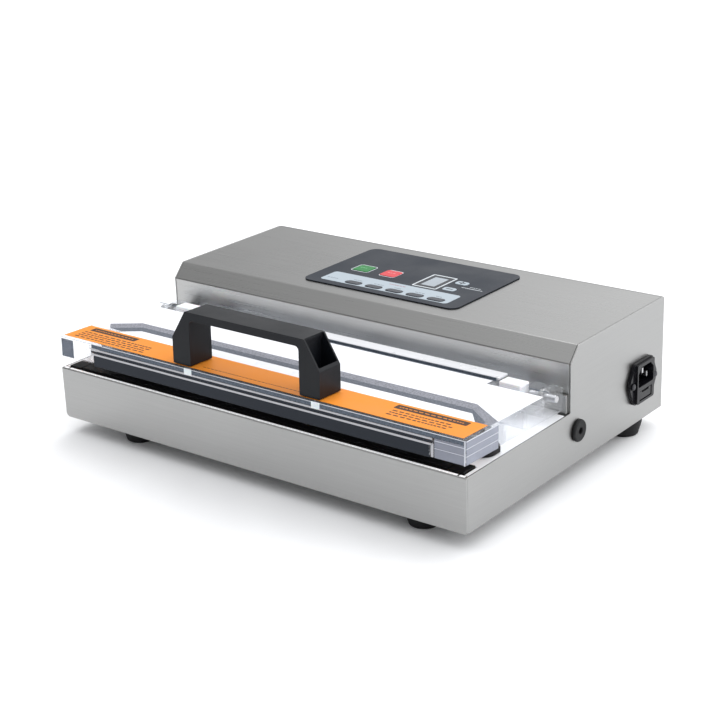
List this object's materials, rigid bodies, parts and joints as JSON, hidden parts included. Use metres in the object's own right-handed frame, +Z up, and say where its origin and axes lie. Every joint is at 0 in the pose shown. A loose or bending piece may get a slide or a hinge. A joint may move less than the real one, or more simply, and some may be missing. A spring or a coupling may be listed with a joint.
{
  "type": "vacuum packing machine",
  "caption": "Countertop external vacuum sealer: brushed steel casing, clear hinged lid with handle and press bar over a heated seal bar, membrane panel, side power inlet.",
  "frame": {"origin": "on the surface the machine stands on, under the middle of its bounding box", "axes": "+Z up, front towards -Y, +X towards the side with the power inlet"},
  "size_m": [0.3748, 0.261, 0.1194],
  "materials": {
    "steel": "brushed along the long side, satin",
    "white_deck": "white stoved enamel, satin",
    "zinc": "zinc plated",
    "black_rubber": "matt moulded rubber",
    "black_plastic": "fine-textured satin",
    "gloss_black": "polished moulding",
    "clear": "clear polished acrylic",
    "white_plastic": "natural nylon",
    "label": null,
    "overlay": "printed polycarbonate film",
    "green": "printed film key",
    "red": "printed film key",
    "pale_key": "printed film key",
    "screen": "clear window over a display",
    "board": "circuit board",
    "nichrome": "flat resistance ribbon",
    "ptfe": "woven PTFE tape",
    "grey_foam": "closed-cell foam",
    "lamination": "varnished laminations and winding",
    "motor_can": "plated steel can",
    "cast_alloy": "die cast",
    "hose": "translucent silicone"
  },
  "bodies": {
    "base": {"side_panel_left": "steel", "side_panel_right": "steel", "front_panel": "steel", "housing_cover": "steel", "rear_panel": "steel", "bottom_plate": "steel", "hinge_bracket_left": "steel", "hinge_bracket_right": "steel", "deck_plate": "white_deck", "vacuum_trough": "white_deck", "foot_screw_front_left": "zinc", "foot_screw_front_right": "zinc", "foot_screw_rear_left": "zinc", "foot_screw_rear_right": "zinc", "hinge_pin_left": "zinc", "hinge_pin_right": "zinc", "inlet_screw_front": "zinc", "inlet_screw_rear": "zinc", "foot_front_left": "black_rubber", "foot_front_right": "black_rubber", "foot_rear_left": "black_rubber", "foot_rear_right": "black_rubber", "deck_gasket": "black_rubber", "accessory_port": "black_rubber", "seal_bar_body": "black_plastic", "seal_bar_end_left": "black_plastic", "seal_bar_end_right": "black_plastic", "solenoid_valve": "black_plastic", "power_inlet": "gloss_black", "control_overlay": "overlay", "display_window": "screen", "control_board": "board", "heating_ribbon": "nichrome", "ptfe_cover": "ptfe", "transformer": "lamination", "pump_motor": "motor_can", "pump_head": "cast_alloy", "vacuum_hose": "hose"},
    "lid": {"lid_shell": "clear", "lid_gasket": "grey_foam", "press_bar_holder": "black_plastic", "press_strip": "black_rubber", "lid_handle": "black_plastic", "handle_screw_left": "zinc", "handle_screw_right": "zinc", "lid_sticker": "label", "lid_rear_strip": "clear", "lid_stop_block_left": "white_plastic", "lid_stop_block_right": "white_plastic"},
    "drawer": {"fuse_drawer": "gloss_black"},
    "crank": {"pump_shaft": "zinc"},
    "start_button": {"key_start": "green"},
    "stop_button": {"key_stop": "red"},
    "plus_button": {"key_plus": "pale_key"},
    "minus_button": {"key_minus": "pale_key"},
    "program_1_button": {"key_program_1": "pale_key"},
    "program_2_button": {"key_program_2": "pale_key"},
    "program_3_button": {"key_program_3": "pale_key"},
    "program_4_button": {"key_program_4": "pale_key"},
    "program_5_button": {"key_program_5": "pale_key"}
  },
  "joints": [
    {"name": "lid_hinge", "type": "hinge", "parent": "base", "child": "lid", "pos_m": [0, -0.0195, 0.069], "axis": [-1, 0, 0], "range_deg": [-1.8, 93]},
    {"name": "drawer_slide", "type": "slide", "parent": "base", "child": "drawer", "axis": [1, 0, 0], "range_m": [0, 0.012]},
    {"name": "crank_spin", "type": "hinge", "parent": "base", "child": "crank", "pos_m": [0, 0.0845, 0.039], "axis": [1, 0, 0], "continuous": true},
    {"name": "key_start_press", "type": "slide", "parent": "base", "child": "start_button", "axis": [0, 0, -1], "range_m": [0, 0.0006], "stiffness_N_per_m": 1500},
    {"name": "key_stop_press", "type": "slide", "parent": "base", "child": "stop_button", "axis": [0, 0, -1], "range_m": [0, 0.0006], "stiffness_N_per_m": 1500},
    {"name": "key_plus_press", "type": "slide", "parent": "base", "child": "plus_button", "axis": [0, 0, -1], "range_m": [0, 0.0006], "stiffness_N_per_m": 1500},
    {"name": "key_minus_press", "type": "slide", "parent": "base", "child": "minus_button", "axis": [0, 0, -1], "range_m": [0, 0.0006], "stiffness_N_per_m": 1500},
    {"name": "key_program_1_press", "type": "slide", "parent": "base", "child": "program_1_button", "axis": [0, 0, -1], "range_m": [0, 0.0006], "stiffness_N_per_m": 1500},
    {"name": "key_program_2_press", "type": "slide", "parent": "base", "child": "program_2_button", "axis": [0, 0, -1], "range_m": [0, 0.0006], "stiffness_N_per_m": 1500},
    {"name": "key_program_3_press", "type": "slide", "parent": "base", "child": "program_3_button", "axis": [0, 0, -1], "range_m": [0, 0.0006], "stiffness_N_per_m": 1500},
    {"name": "key_program_4_press", "type": "slide", "parent": "base", "child": "program_4_button", "axis": [0, 0, -1], "range_m": [0, 0.0006], "stiffness_N_per_m": 1500},
    {"name": "key_program_5_press", "type": "slide", "parent": "base", "child": "program_5_button", "axis": [0, 0, -1], "range_m": [0, 0.0006], "stiffness_N_per_m": 1500}
  ]
}
